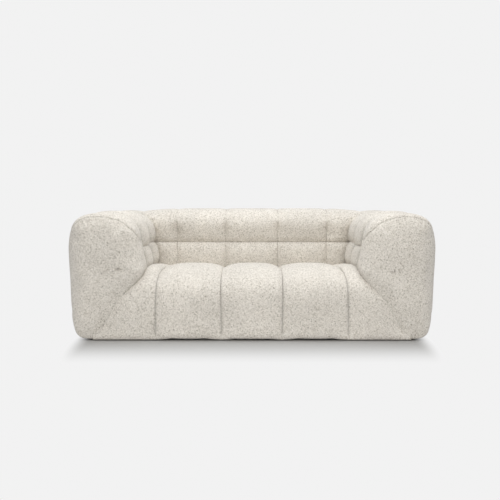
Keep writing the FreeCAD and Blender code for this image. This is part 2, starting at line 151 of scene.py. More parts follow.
# The plain outsides have less wadding; nothing of the cover comes nearer to the floor than LOWEST
OUTSIDE_WALL = 0.4
LOWEST = 0.003

# The lamps: name, place, aim, size, power and colour
LAMPS = (("overhead", (0.0, -0.6, 3.2), (0.0, -0.1, 0.3), (3.6, 2.6), 83.0, (0.96, 0.98, 1.0)),
         ("front", (0.0, -4.2, 2.4), (0.0, 0.0, 0.4), (4.0, 2.0), 54.0, (1.0, 0.985, 0.955)))
SKY_STRENGTH = 0.55
# Floor: FLOOR_BOUNCE is its colour for bounced light; SHADOW_HALF and SHADOW_FADE set the zone round the
# sofa where the camera sees the darker floor colour, painted shade added to the real shadows, fading into
# the backdrop.
FLOOR_BOUNCE = (0.68, 0.68, 0.68, 1.0)
SHADOW_HALF = (0.88, 0.44, 0.0)
SHADOW_FADE = (5.0, 1.0, 1.0)
LENS = 49.32
CAMERA_AWAY = 3.692
CAMERA_HEIGHT = 0.852
PITCH_DOWN = math.radians(5.40)
YAW = math.radians(0.157)


def ease(x):
    """Goes smoothly from 0 to 1."""
    x = min(max(x, 0.0), 1.0)
    return x * x * (3.0 - 2.0 * x)


def mix(a, b, share):
    """The value at a share of the way from a to b."""
    return a + (b - a) * share


class Line:
    """A smooth line through section points, read by its share of length."""

    def __init__(self, points, closed=False, steps=16):
        count = len(points)
        spans = count if closed else count - 1
        at = [Vector(p) for p in points]
        self.shares, self.places, self.headings = [], [], []
        for span in range(spans):
            a, b = at[span], at[(span + 1) % count]
            before = at[span - 1] if closed or span > 0 else a
            after = at[(span + 2) % count] if closed or span + 2 < count else b
            reach = (b - a).length
            leave = (b - before) / ((a - before).length + reach) * reach
            arrive = (after - a) / ((after - b).length + reach) * reach
            for step in range(steps + (span == spans - 1)):
                t = step / steps
                t2, t3 = t * t, t * t * t
                place = (a * (2 * t3 - 3 * t2 + 1) + leave * (t3 - 2 * t2 + t) + b * (3 * t2 - 2 * t3)
                         + arrive * (t3 - t2))
                heading = (a * (6 * t2 - 6 * t) + leave * (3 * t2 - 4 * t + 1) + b * (6 * t - 6 * t2)
                           + arrive * (3 * t2 - 2 * t))
                self.places.append(place)
                self.headings.append(heading.normalized())
        run = 0.0
        self.shares.append(0.0)
        for earlier, later in zip(self.places, self.places[1:]):
            run += (later - earlier).length
            self.shares.append(run)
        self.length = run
        self.shares = [share / run for share in self.shares]
        self.closed = closed

    def read(self, share):
        """The point and the heading at a share of the length."""
        share = share % 1.0 if self.closed else min(max(share, 0.0), 1.0)
        after = min(max(bisect_right(self.shares, share), 1), len(self.shares) - 1)
        low, high = self.shares[after - 1], self.shares[after]
        t = (share - low) / (high - low) if high > low else 0.0
        place = self.places[after - 1].lerp(self.places[after], t)
        heading = self.headings[after - 1].lerp(self.headings[after], t).normalized()
        return place, heading

    def find(self, wanted):
        """The share whose point scores lowest with a test."""
        best = min(range(len(self.places)), key=lambda i: wanted(self.places[i]))
        return self.shares[best]


def arm_roll_point(angle):
    """A point of the arm's roll; 0 degrees is outside, 90 the top and 180 inside."""
    c, s = math.cos(math.radians(angle)), math.sin(math.radians(angle))
    half, power = (ARM_HALF_OUTER, ARM_POWER_OUTER) if c > 0 else (ARM_HALF_INNER, ARM_POWER_INNER)
    return (ARM_CENTRE + math.copysign(half * abs(c) ** (2 / power), c),
            ARM_SHOULDER + (ARM_TOP - ARM_SHOULDER) * abs(s) ** (2 / power))


ARM_ROLL = [arm_roll_point(angle) for angle in (174, 165, 152, 138, 124, 107, 90, 73, 57, 42, 28, 14, 3)]
arm_loop = Line(ARM_INSIDE + ARM_ROLL + ARM_FOOT + ARM_SLOPE, closed=True)
seat_line = Line(SEAT_LINE)
lower_line = Line(LOWER_LINE)
roll_line = Line(ROLL_LINE)


def arm_share(height, outside):
    """The share of the arm's loop where one side reaches a height."""
    def miss(p):
        wrong_side = (p.x > ARM_CENTRE) != outside or (not outside and p.y < 0.30)
        return abs(p.y - height) + 10.0 * wrong_side
    return arm_loop.find(miss)


def arm_inner_x(height):
    """Where the arm's side that faces the seat stands at a height."""
    if height >= ARM_TOP - ARM_FLAT_TOP:
        return ARM_CENTRE
    return arm_loop.read(arm_share(height, False))[0].x


slope_line = Line([(0.860, -0.01)] + ARM_SLOPE[1:] + ARM_INSIDE)


def slope_x(height):
    """Where the arm's lower edge slants towards the floor at a height."""
    return slope_line.read(slope_line.find(lambda p: abs(p.y - height)))[0].x


def groove(distance, reach, roundness=1.0):
    """How much of a seam's depth is left at a distance from it: 1 on the seam, 0 on the crown.

    Roundness 1 gives the full shoulders of a tight channel, and 0 a soft open valley.
    """
    if distance >= reach:
        return 0.0
    away = 1.0 - max(distance, 0.0) / reach
    full = 1.0 - (1.0 - away ** 2.6) ** 0.62
    return mix(away ** 2.0, full, roundness)


def together(depths):
    """The depth where seams cross, which never passes the deepest."""
    left = 1.0
    for depth in depths:
        left *= 1.0 - depth / DEEPEST_SEAM
    return DEEPEST_SEAM * (1.0 - left)


def spread(share):
    """Sets rows closer together near both ends."""
    return mix(share, (1.0 - math.cos(math.pi * share)) / 2.0, 0.7)


def material(name):
    """The finish of a slot."""
    return bpy.data.materials[name + "_finish"]


def add_object(name, mesh, finish):
    """Turns a bmesh into an object of the scene."""
    data = bpy.data.meshes.new(name)
    mesh.to_mesh(data)
    mesh.free()
    data.materials.append(finish)
    made = bpy.data.objects.new(name, data)
    bpy.context.scene.collection.objects.link(made)
    return made


def sheet(columns, rows, place, merge):
    """A grid whose points are placed by a share across and a share along."""
    mesh = bmesh.new()
    bmesh.ops.create_grid(mesh, x_segments=columns, y_segments=rows, size=0.5)
    for vertex in mesh.verts:
        vertex.co = place(vertex.co.x + 0.5, vertex.co.y + 0.5)
    bmesh.ops.remove_doubles(mesh, verts=mesh.verts, dist=merge)
    return mesh


def finished(node, mesh, fill):
    """Turns a bmesh into a piece of the cover that stands for a CAD node."""
    piece = add_object(node + "_pad", mesh, material("boucle"))
    for polygon in piece.data.polygons:
        polygon.use_smooth = True
    piece["fill"] = fill
    piece["node"] = node
    return piece


def grid_piece(node, size, place, fill=0.7, flip=False):
    """A stuffed piece from a grid: place gives the point for a share across and a share along."""
    cell = bpy.context.scene.sofa_sizes.fabric_cell
    columns = max(6, round(size[0] / cell))
    rows = max(6, round(size[1] / cell))
    mesh = sheet(columns, rows, lambda u, v: place(spread(u), spread(v)), 0.0004)
    if flip:
        bmesh.ops.reverse_faces(mesh, faces=mesh.faces)
    return finished(node, mesh, fill)


def on_side(place, side):
    """The same place on the right arm for 1, and its mirror image on the left for -1."""
    def mirrored(u, v):
        point = place(u, v)
        point.x *= side
        return point
    return mirrored


def both_arms(name, size, place, fill=0.7):
    """Makes a piece for the right arm and its mirror image for the left; name has room for the side."""
    for side, word in ARMS:
        grid_piece(name.format(word), size, on_side(place, side), fill, flip=side > 0)


def metres(name, description, default, low, high):
    """A size that a user would change, in metres."""
    return FloatProperty(name=name, description=description, default=default, min=low, max=high,
                         unit="LENGTH")


def paint(name, description, default):
    """A colour that a user would change."""
    return FloatVectorProperty(name=name, description=description, default=default, subtype="COLOR",
                               min=0, max=1)


class SofaSizes(PropertyGroup):
    fabric_cell: metres("Fabric cell", "Mesh size of the cover before it is smoothed", 0.0125, 0.006, 0.03)
    back_valley: metres("Back valley", "Depth of the upright seams of the back", 0.018, 0.0, 0.034)
    arm_valley: metres("Arm valley", "Depth of the seams across the arms", 0.042, 0.0, 0.055)
    seat_valley: metres("Seat valley", "Depth of the seams on top of the seat", 0.026, 0.0, 0.034)
    front_valley: metres("Front valley", "Depth of the seams on the front of the seat", 0.013, 0.0, 0.034)
    panel_valley: metres("Panel valley", "Depth of the seam round the front panel", 0.006, 0.0, 0.03)
    outer_valley: metres("Outer valley", "Depth of the seam that ends the channels", 0.010, 0.0, 0.03)
    pinch_height: metres("Pinch height", "Height of the level seam inside", 0.498, 0.42, 0.6)
    outer_seam_height: metres("Outer seam height", "Height of the level seam outside", 0.584, 0.4, 0.68)
    pad_wall: metres("Pad wall", "Thickness of cloth and wadding together", 0.014, 0.004, 0.04)
    seam_sharpness: FloatProperty(name="Seam sharpness", description="How closely two pads meet at a seam",
                                  default=1.0, min=0.0, max=1.0, subtype="FACTOR")
    face_bulge: metres("Face bulge", "How far the arm's front panel stands out", 0.010, 0.0, 0.02)
    pressure: FloatProperty(name="Stuffing pressure", description="Air pressure that fills the channels",
                            default=4.0, min=0.0, max=30.0)
    spare_cloth: FloatProperty(name="Spare cloth", description="Share by which the cloth is cut too large",
                               default=0.02, min=0.0, max=0.1, subtype="FACTOR")
    most_movement: metres("Most movement", "The furthest that stuffing moves the cloth", 0.008, 0.0, 0.03)
    stuffing_steps: IntProperty(name="Stuffing steps", description="Steps of the cloth simulation",
                                default=20, min=1, max=40)


class SofaColours(PropertyGroup):
    cloth_light: paint("Light yarn", "Palest loops of the cloth", (0.88, 0.835, 0.765))
    cloth_middle: paint("Middle yarn", "Main colour of the cloth", (0.71, 0.66, 0.585))
    cloth_dark: paint("Dark yarn", "Darkest loops of the cloth", (0.30, 0.265, 0.21))
    # The floor colour is seen only near the sofa and is darker than the backdrop: painted shade round the
    # sofa, added to the real shadows.
    floor: paint("Floor", "Colour of the studio floor", (0.36, 0.355, 0.345))
    backdrop: paint("Backdrop", "Colour seen behind the sofa", (0.887, 0.887, 0.887))


def node_tree(name, values):
    """A new material, its tree and its shader, with the shader's plain values set."""
    made = bpy.data.materials.new(name + "_finish")
    made.use_nodes = True
    tree = made.node_tree
    shader = tree.nodes["Principled BSDF"]
    for key, value in values.items():
        shader.inputs[key].default_value = value
    return made, tree, shader


def add_node(tree, kind, values=(), links=()):
    """Adds a node, sets its inputs or properties, and links sockets to it."""
    node = tree.nodes.new(kind)
    for key, value in dict(values).items():
        if key in node.inputs:
            node.inputs[key].default_value = value
        else:
            setattr(node, key, value)
    for key, source in dict(links).items():
        tree.links.new(source, node.inputs[key])
    return node


def add_ramp(tree, source, stops):
    """A colour ramp with (place, colour) stops."""
    node = tree.nodes.new("ShaderNodeValToRGB")
    tree.links.new(source, node.inputs["Fac"])
    ramp = node.color_ramp
    while len(ramp.elements) < len(stops):
        ramp.elements.new(0.5)
    for element, (place, colour) in zip(ramp.elements, stops):
        element.position = place
        element.color = (*colour, 1.0) if len(colour) == 3 else colour
    return node


def combine(tree, kind, operation, inputs):
    """A node that calculates: its inputs are links from sockets, or plain values."""
    node = tree.nodes.new(kind)
    node.operation = operation
    for key, source in inputs.items():
        if isinstance(source, bpy.types.NodeSocket):
            tree.links.new(source, node.inputs[key])
        else:
            node.inputs[key].default_value = source
    return node


def maths(tree, operation, first, second):
    return combine(tree, "ShaderNodeMath", operation, {0: first, 1: second}).outputs["Value"]


def own_place(tree):
    """The place on the object itself, which patterns follow."""
    return add_node(tree, "ShaderNodeTexCoord").outputs["Object"]


def noise(tree, place, values):
    return add_node(tree, "ShaderNodeTexNoise", values, {"Vector": place}).outputs["Fac"]


def remap(tree, source, low, high, to_low, to_high, curve="LINEAR"):
    """Carries a value from one range to another."""
    return add_node(tree, "ShaderNodeMapRange", {"From Min": low, "From Max": high, "To Min": to_low,
                                                 "To Max": to_high, "interpolation_type": curve},
                    {"Value": source}).outputs["Result"]


def surface(tree, output, share, usual, other):
    """Shows a mix of two shaders."""
    blend = add_node(tree, "ShaderNodeMixShader", {}, {"Fac": share, 1: usual, 2: other})
    tree.links.new(blend.outputs["Shader"], tree.nodes[output].inputs["Surface"])


def add_bump(tree, shader, height, strength, distance):
    """Roughens a shader's surface by a height."""
    bump = add_node(tree, "ShaderNodeBump", {"Strength": strength, "Distance": distance}, {"Height": height})
    tree.links.new(bump.outputs["Normal"], shader.inputs["Normal"])


def two_tones(tree, shader, source, dark, light):
    """Colours a shader from dark to light by a pattern."""
    tones = add_ramp(tree, source, [(0.35, dark), (0.65, light)])
    tree.links.new(tones.outputs["Color"], shader.inputs["Base Color"])


def boucle_material(colours):
    """Nubbly looped cloth: pale and dark yarns in small knots, with painted shade that darkens it in the
    creases of the seams.
    """
    made, tree, shader = node_tree("boucle", {"Roughness": 0.92, "Specular IOR Level": 0.2,
                                              "Sheen Weight": 0.25, "Sheen Roughness": 0.6})
    place = own_place(tree)
    curls = noise(tree, place, {"Scale": 165.0, "Detail": 3.0, "Roughness": 0.6, "Distortion": 1.2})
    loops = add_node(tree, "ShaderNodeTexVoronoi", {"Scale": 330.0, "Randomness": 1.0},
                     {"Vector": place}).outputs["Distance"]
    drift = noise(tree, place, {"Scale": 7.0, "Detail": 2.0})
    tones = add_ramp(tree, curls, [(0.33, colours.cloth_dark), (0.46, colours.cloth_middle),
                                   (0.62, colours.cloth_light)])
    shade = remap(tree, drift, 0.3, 0.7, 0.94, 1.04)
    knots = remap(tree, loops, 0.0, 0.8, 1.08, 0.82)
    both = maths(tree, "MULTIPLY", shade, knots)
    # The seam attribute is painted shade: the yarn colour is darkened by it in the creases of the seams.
    seam = add_node(tree, "ShaderNodeAttribute", {"attribute_name": "seam"})
    unshaded = maths(tree, "SUBTRACT", 1.0, seam.outputs["Fac"])
    shaded = maths(tree, "MULTIPLY", both, unshaded)
    tint = combine(tree, "ShaderNodeVectorMath", "SCALE", {0: tones.outputs["Color"], "Scale": shaded})
    tree.links.new(tint.outputs["Vector"], shader.inputs["Base Color"])
    nubs = maths(tree, "SUBTRACT", curls, loops)
    add_bump(tree, shader, nubs, 0.55, 0.004)
    return made


def wood_material(name, light, dark, across, rough):
    """Sawn or peeled wood: rings stretched along one axis, with pores."""
    made, tree, shader = node_tree(name, {"Roughness": rough})
    along = add_node(tree, "ShaderNodeMapping", {"Scale": across},
                     {"Vector": own_place(tree)}).outputs["Vector"]
    grain = noise(tree, along, {"Scale": 14.0, "Detail": 6.0, "Distortion": 0.8})
    pores = noise(tree, along, {"Scale": 160.0, "Detail": 2.0})
    two_tones(tree, shader, grain, dark, light)
    add_bump(tree, shader, pores, 0.25, 0.001)
    return made


def grainy_material(name, light, dark, scale, rough, depth, metal=0.0):
    """A finish with one fine mottled layer: foam, felt, webbing, wire or moulded plastic."""
    made, tree, shader = node_tree(name, {"Roughness": rough, "Metallic": metal})
    speckle = noise(tree, own_place(tree), {"Scale": scale, "Detail": 4.0, "Roughness": 0.65})
    two_tones(tree, shader, speckle, dark, light)
    add_bump(tree, shader, speckle, 0.4, depth)
    return made


class SOFA_OT_finishes(Operator):
    """Makes every material and gives the frame's nodes theirs"""
    bl_idname = "sofa.finishes"
    bl_label = "Finishes"

    def execute(self, context):
        boucle_material(context.scene.sofa_colours)
        wood_material("timber", (0.72, 0.56, 0.37), (0.52, 0.36, 0.20), (1.0, 8.0, 8.0), 0.65)
        wood_material("plywood", (0.74, 0.60, 0.42), (0.60, 0.45, 0.28), (6.0, 6.0, 1.0), 0.6)
        wood_material("hardboard", (0.36, 0.23, 0.13), (0.26, 0.16, 0.09), (3.0, 3.0, 3.0), 0.5)
        grainy_material("foam", (0.88, 0.82, 0.64), (0.80, 0.72, 0.52), 420.0, 0.95, 0.0015)
        grainy_material("felt", (0.46, 0.46, 0.47), (0.30, 0.30, 0.32), 260.0, 1.0, 0.001)
        grainy_material("webbing", (0.26, 0.23, 0.20), (0.14, 0.12, 0.10), 300.0, 0.85, 0.001)
        grainy_material("dust_cloth", (0.065, 0.065, 0.07), (0.035, 0.035, 0.04), 500.0, 0.95, 0.0006)
        grainy_material("spring_steel", (0.50, 0.50, 0.51), (0.38, 0.38, 0.39), 120.0, 0.35, 0.0002, 1.0)
        grainy_material("zinc_steel", (0.72, 0.73, 0.74), (0.60, 0.61, 0.62), 200.0, 0.3, 0.0002, 1.0)
        grainy_material("glide_plastic", (0.04, 0.04, 0.04), (0.025, 0.025, 0.025), 350.0, 0.55, 0.0003)
        slots = {part["node"]: part["material_slot"] for part in frame["record"]["subparts"]}
        for name, node in frame["nodes"].items():
            node.data.materials.clear()
            node.data.materials.append(material(slots[name]))
        return {"FINISHED"}


def seat_seam(v, at_back, at_front, at_hem):
    """Where a seam of the seat runs across, at a share along the seat's line."""
    top = 0.58
    if v < top:
        return mix(at_back, at_front, v / top)
    return mix(at_front, at_hem, (v - top) / (1.0 - top))


def seat_point(x, v, sink):
    """A point of the seat at a share along its line, sunk below its crown."""
    place, heading = seat_line.read(v)
    return Vector((x, place.x - heading.y * sink, place.y + heading.x * sink))


def seat_channel(low, high, valley_low, valley_high):
    """A seat channel between two seams that may run at a slant."""
    def place(u, v):
        a, b = low(v), high(v)
        half = (b - a) / 2.0
        x = mix(a, b, u)
        on_front = ease((v - 0.45) / 0.2)
        reach = min(half, mix(0.17, 0.09, on_front))
        roundness = 1.0 - 0.8 * on_front
        sink = together([valley_low(v) * groove(x - a, reach, roundness),
                         valley_high(v) * groove(b - x, reach, roundness)])
        sink *= 1.0 - ease((v - 0.90) / 0.07)
        run = v * seat_line.length
        for seam in (x - a, b - x):
            fold = math.sin((run + 0.7 * seam) * PUCKER_RATE) * math.exp(-((seam - 0.022) / 0.018) ** 2)
            sink += PUCKER_DEPTH * fold * math.exp(-((v - 0.55) / 0.10) ** 2)
        return seat_point(x, v, sink)
    return place


class SOFA_OT_seat(Operator):
    """Makes the seat's five channels, from under the back to the hem"""
    bl_idname = "sofa.seat"
    bl_label = "Seat"

    def execute(self, context):
        sizes = context.scene.sofa_sizes

        def valley(v):
            return mix(sizes.seat_valley, sizes.front_valley, ease((v - 0.45) / 0.30))

        def arm_valley(v):
            return mix(0.042, 0.012, ease((v - 0.46) / 0.20))

        def inner(v):
            return seat_seam(v, 0.171, 0.172, 0.166)

        def outer(v):
            return seat_seam(v, 0.500, 0.523, 0.534)

        def arm_edge(v):
            place = seat_line.read(v)[0]
            return slope_x(place.y) + mix(0.030, 0.022, ease((v - 0.60) / 0.10))

        length = seat_line.length
        wide, end = 0.34, 0.24
        pieces = (("middle", lambda v: -inner(v), inner, valley, valley, wide),
                  ("right_wide", inner, outer, valley, valley, wide),
                  ("left_wide", lambda v: -outer(v), lambda v: -inner(v), valley, valley, wide),
                  ("right_end", outer, arm_edge, valley, arm_valley, end),
                  ("left_end", lambda v: -arm_edge(v), lambda v: -outer(v), arm_valley, valley, end))
        for word, low, high, valley_low, valley_high, width in pieces:
            grid_piece("seat_channel_" + word, (width, length),
                       seat_channel(low, high, valley_low, valley_high), 0.7 if "end" in word else 0.85,
                       flip=True)
        return {"FINISHED"}


def back_place(line, low, high, depth, end_depth, mitred):
    """A channel of the back; mitred is 1 or -1 where its far edge is cut to an arm, or 0."""
    def place(u, v):
        spot, heading = line.read(v)
        a, b = low, high
        if mitred:
            into_arm = arm_inner_x(spot.y) + mix(0.030, 0.06, ease((spot.x - 0.38) / 0.08))
            a, b = (low, into_arm) if mitred > 0 else (-into_arm, high)
        x = mix(a, b, u)
        reach = min((b - a) / 2.0, 0.10)
        along = v * line.length
        ends = [end_depth[0] * groove(along, ROLL_END_REACH),
                end_depth[1] * groove(line.length - along, ROLL_END_REACH)]
        shallow = depth * mix(1.0, 0.10, ease((spot.y - 0.56) / 0.10))
        sink = together([shallow * groove(x - a, reach, 0.3), shallow * groove(b - x, reach, 0.3)] + ends)
        from_pinch = along if line is roll_line else line.length - along
        level = ease(1.0 - from_pinch / 0.05)
        inward = Vector((heading.y, -heading.x)).lerp(Vector((1.0, 0.0)), level)
        droop = 0.014 * ease((abs(x) - 0.50) / 0.24) * ease((spot.y - 0.60) / 0.08)
        if mitred:
            droop += 0.022 * ease((abs(x) - into_arm + 0.05) / 0.05) * ease((spot.y - 0.62) / 0.06)
        return Vector((x, spot.x + inward.x * sink, spot.y + inward.y * sink - droop))
    return place


class SOFA_OT_back(Operator):
    """Makes the back's lower pads and the channels of its roll"""
    bl_idname = "sofa.back"
    bl_label = "Back"

    def execute(self, context):
        sizes = context.scene.sofa_sizes
        depth = sizes.back_valley
        rows = (("lower", lower_line, (0.0, 0.0)), ("roll", roll_line, (0.0, sizes.outer_valley)))
        inner, outer, edge = 0.168, 0.483, 0.77
        mitred_width = 0.20
        spans = (("middle", -inner, inner, 0), ("right_wide", inner, outer, 0),
                 ("left_wide", -outer, -inner, 0), ("right_end", outer, edge, 1),
                 ("left_end", -edge, -outer, -1))
        for row, line, ends in rows:
            for word, low, high, mitred in spans:
                width = mitred_width if mitred else high - low
                grid_piece("back_" + row + "_" + word, (width, line.length),
                           back_place(line, low, high, depth, ends, mitred), 0.8)
        return {"FINISHED"}


def faded(depth, from_end):
    """A seam across the arm gets shallow where the channel ends on the outside."""
    return depth * mix(0.25, 1.0, ease(from_end / 0.12))


def settled(point):
    """The arm's top sinks a little towards the rear, below the top of the back."""
    high = ease((point.z - 0.58) / 0.08)
    in_rear_seam = math.exp(-((point.y - ARM_SEAMS[2]) / 0.04) ** 2)
    point.z -= (0.018 * ease((point.y + 0.25) / 0.45) - 0.024 * in_rear_seam) * high
    return point


def arm_point(share, y, sink):
    """A point of the arm's side or top, sunk below its crown."""
    spot, heading = arm_loop.read(share)
    return settled(Vector((spot.x + heading.y * sink, y, spot.y - heading.x * sink)))


class SOFA_OT_arm_channels(Operator):
    """Makes the channels over each arm, inside and on top"""
    bl_idname = "sofa.arm_channels"
    bl_label = "Arm channels"

    def execute(self, context):
        sizes = context.scene.sofa_sizes
        depth = sizes.arm_valley
        foot = arm_share(CHANNEL_FOOT, False)
        outer = arm_share(sizes.outer_seam_height, True)
        front, middle, rear = ARM_SEAMS
        pinch_front = arm_share(sizes.pinch_height + 0.005, False)
        pinch_rear = arm_share(sizes.pinch_height - 0.008, False)
        if foot > pinch_rear:
            foot -= 1.0

        def pinch(y):
            return mix(pinch_front, pinch_rear, ((y - front) / (middle - front)) % 1.0)

        for word, low, high in (("second", front, middle), ("third", middle, rear)):
            for part, first, last, ends in (("inside", lambda y: foot, pinch, (0.0, 0.016)),
                                            ("top", pinch, lambda y: outer, (0.016, sizes.outer_valley))):
                length = (last(low) - first(low)) * arm_loop.length

                def place(u, v):
                    y = mix(low, high, u)
                    run = v * length
                    reach = ARM_SHOULDER_REACH
                    if part == "top":
                        across = faded(depth, length - run)
                    else:
                        across = mix(0.4, 1.0, ease(run / 0.08)) * depth
                    sink = together([across * groove(y - low, reach, ARM_ROUNDNESS),
                                     across * groove(high - y, reach, ARM_ROUNDNESS),
                                     ends[0] * groove(run, LEVEL_REACH),
                                     ends[1] * groove(length - run, LEVEL_REACH)])
                    inside = min(y, high - 0.0001)
                    return arm_point(mix(first(inside), last(inside), v), y, sink)

                both_arms("arm_{}_" + word + "_channel_" + part, (high - low, length), place, 0.8)
        return {"FINISHED"}


def edge_radius(share):
    """How round the front panel's edge is: most on the side that faces the seat."""
    spot = arm_loop.read(share)[0]
    if spot.x > ARM_CENTRE - 0.03:
        side = mix(EDGE_RADIUS, 0.110, ease((0.69 - spot.y) / 0.13))
        return mix(side, 0.018, min(max((0.33 - spot.y) / 0.32, 0.0), 1.0))
    if spot.y > 0.40:
        return mix(EDGE_RADIUS, 0.085, ease((ARM_CENTRE - 0.03 - spot.x) / 0.13))
    return mix(0.085, 0.003, ease((0.40 - spot.y) / 0.20) ** 0.6)


def inner_setback(spot):
    """The front pads stand back a little from the channels where they face the seat."""
    return 0.003 * ease((ARM_CENTRE - 0.08 - spot.x) / 0.08) * ease((spot.y - 0.38) / 0.08)


def cap_point(share, depth, sink, bulge):
    """A point of the arm's front: depth counts from the middle of the face over the edge to the side.

    depth 0 to 1 covers the face from its centre out, 1 to 2 the arc, and past 2 the side, in metres.
    """
    spot, heading = arm_loop.read(share)
    outward = Vector((-heading.y, heading.x))
    spot = spot - outward * inner_setback(spot)
    radius = edge_radius(share)
    if depth >= 2.0:
        flat = spot - outward * sink
        return Vector((flat.x, ARM_FACE + radius + depth - 2.0, flat.y))
    if depth >= 1.0:
        turn = (depth - 1.0) * math.pi / 2.0
        middle = spot - outward * radius
        reach = radius - sink
        flat = middle + outward * (reach * math.sin(turn))
        return Vector((flat.x, ARM_FACE + radius - reach * math.cos(turn), flat.y))
    rim = spot - outward * radius
    flat = PANEL_CENTRE.lerp(rim, depth)
    across, up = (flat.x - 0.80) / 0.13, (flat.y - 0.42) / 0.20
    return Vector((flat.x, ARM_FACE - bulge * math.exp(-across * across - up * up), flat.y))


def panel_seam_inset(share):
    """How far inside the arm's outline the panel's top seam runs, seen from the front."""
    spot = arm_loop.read(share)[0]
    across = spot.x
    if across > ARM_CENTRE:
        return mix(0.016, 0.000, ease((0.69 - spot.y) / 0.105))
    if across > 0.70:
        return mix(0.016, 0.029, ease((ARM_CENTRE - across) / 0.135))
    return mix(0.029, 0.0, ease((0.655 - spot.y) / 0.10))


def seam_depth(share):
    """The panel seam's place on the arc, as a cap_point depth."""
    radius = edge_radius(share)
    inset = min(panel_seam_inset(share), radius)
    return 1.0 + math.asin(1.0 - inset / radius) / (math.pi / 2.0)


class SOFA_OT_arm_fronts(Operator):
    """Makes each arm's front panel and the gusset above it"""
    bl_idname = "sofa.arm_fronts"
    bl_label = "Arm fronts"

    def execute(self, context):
        sizes = context.scene.sofa_sizes
        inner_end = arm_share(0.548, False)
        outer_end = arm_share(sizes.outer_seam_height, True)
        front_seam = ARM_SEAMS[0]

        def side_depth(share):
            return 2.0 + front_seam - ARM_FACE - edge_radius(share)

        def gusset_run(share, depth):
            """Metres from the panel seam to a depth, along the arc and the side."""
            radius = edge_radius(share)
            arc = (min(depth, 2.0) - seam_depth(share)) * radius * math.pi / 2.0
            return arc + max(depth - 2.0, 0.0)

        def seam_sink(share, depth):
            """How far the seam with the first channel draws in the gusset and the panel's side."""
            spot = arm_loop.read(share)[0]
            arc = (2.0 - min(depth, 2.0)) * edge_radius(share) * math.pi / 2.0
            from_seam = side_depth(share) - max(depth, 2.0) + arc
            if spot.x > ARM_CENTRE:
                full = ease((spot.y - sizes.outer_seam_height) / 0.10)
            else:
                full = ease((spot.y - 0.36) / 0.06)
            return mix(PLAIN_SEAM, sizes.arm_valley, full) * groove(
                from_seam, mix(0.03, ARM_SHOULDER_REACH, full), mix(1.0, ARM_ROUNDNESS, full))

        gusset_length = (outer_end - inner_end) * arm_loop.length
        gusset_width = 0.23

        def gusset_place(u, v):
            share = mix(inner_end, outer_end, v)
            low, high = seam_depth(share), side_depth(share)
            wide = gusset_run(share, high)
            arc = (2.0 - low) * edge_radius(share) * math.pi / 2.0
            run = wide * u
            depth = low + run / arc * (2.0 - low) if run < arc else 2.0 + run - arc
            along = v * gusset_length
            sink = together([sizes.panel_valley * groove(min(run, along), PANEL_SEAM_REACH),
                             seam_sink(share, depth), 0.004 * groove(gusset_length - along, PLAIN_REACH)])
            return cap_point(share, depth, sink, 0.0)

        both_arms("arm_{}_top_gusset", (gusset_width, gusset_length), gusset_place, 0.7)

        run_back = 0.05

        def rim(turn):
            """The panel's edge: share round the arm's loop, and depth."""
            if inner_end <= turn <= outer_end:
                return turn, seam_depth(turn)
            for end, toward in ((inner_end, -1), (outer_end, 1)):
                beyond = (turn - end) * toward
                if 0.0 < beyond <= run_back:
                    return end, mix(seam_depth(end), side_depth(end), beyond / run_back)
            start = outer_end + run_back
            total = 1.0 + inner_end - outer_end - 2.0 * run_back
            part = ((turn - start) % 1.0) / total
            share = (outer_end + part * (1.0 + inner_end - outer_end)) % 1.0
            return share, side_depth(share)

        def panel_place(u, v):
            """u goes round the panel, v from the rim to the centre."""
            v = mix(v, 1.0 - math.cos(v * math.pi / 2.0), 0.6)
            share, outer = rim(u % 1.0)
            inward = ease(v * 1.6)
            gap = ((u % 1.0) - share + 0.5) % 1.0 - 0.5
            share = (share + gap * inward) % 1.0
            radius = edge_radius(share)
            arc = radius * math.pi / 2.0
            side = max(outer - 2.0, 0.0)
            covered = min(outer - 1.0, 1.0) * arc
            face = (arm_loop.read(share)[0] - PANEL_CENTRE).length - radius
            total = side + covered + face
            run = total * v
            if run < side:
                depth = outer - run
            elif run < side + covered:
                depth = 1.0 + (side + covered - run) / arc
            else:
                depth = max(1.0 - (run - side - covered) / face, 0.0)
            sink = seam_sink(share, depth) if depth > 1.0 else 0.0
            if outer < side_depth(share) - 0.0001:
                sink = together([sink, sizes.panel_valley * groove(run, PANEL_SEAM_REACH)])
            point = cap_point(share, depth, sink, sizes.face_bulge)
            if depth < 1.0:
                point.y += sink
            return point

        cell = sizes.fabric_cell
        panel_reach = 0.48
        turns = round(arm_loop.length / cell)
        rings = round(panel_reach / cell)
        for side, word in ARMS:
            mesh = sheet(turns, rings, on_side(panel_place, side), 0.0002)
            face = [vertex for vertex in mesh.verts if vertex.co.y < ARM_FACE + 0.004]
            for _ in range(FACE_PASSES):
                bmesh.ops.smooth_vert(mesh, verts=face, factor=0.5, use_axis_x=True, use_axis_y=True,
                                      use_axis_z=True)
            if side > 0:
                bmesh.ops.reverse_faces(mesh, faces=mesh.faces)
            finished("arm_" + word + "_front_panel", mesh, 0.75)
        return {"FINISHED"}


def plain_sink(from_one_side, from_other_side, from_top, top_depth):
    """How far the seams round a plain panel draw it in."""
    return together([PLAIN_SEAM * groove(from_one_side, PLAIN_REACH),
                     PLAIN_SEAM * groove(from_other_side, PLAIN_REACH),
                     top_depth * groove(from_top, PLAIN_REACH)])


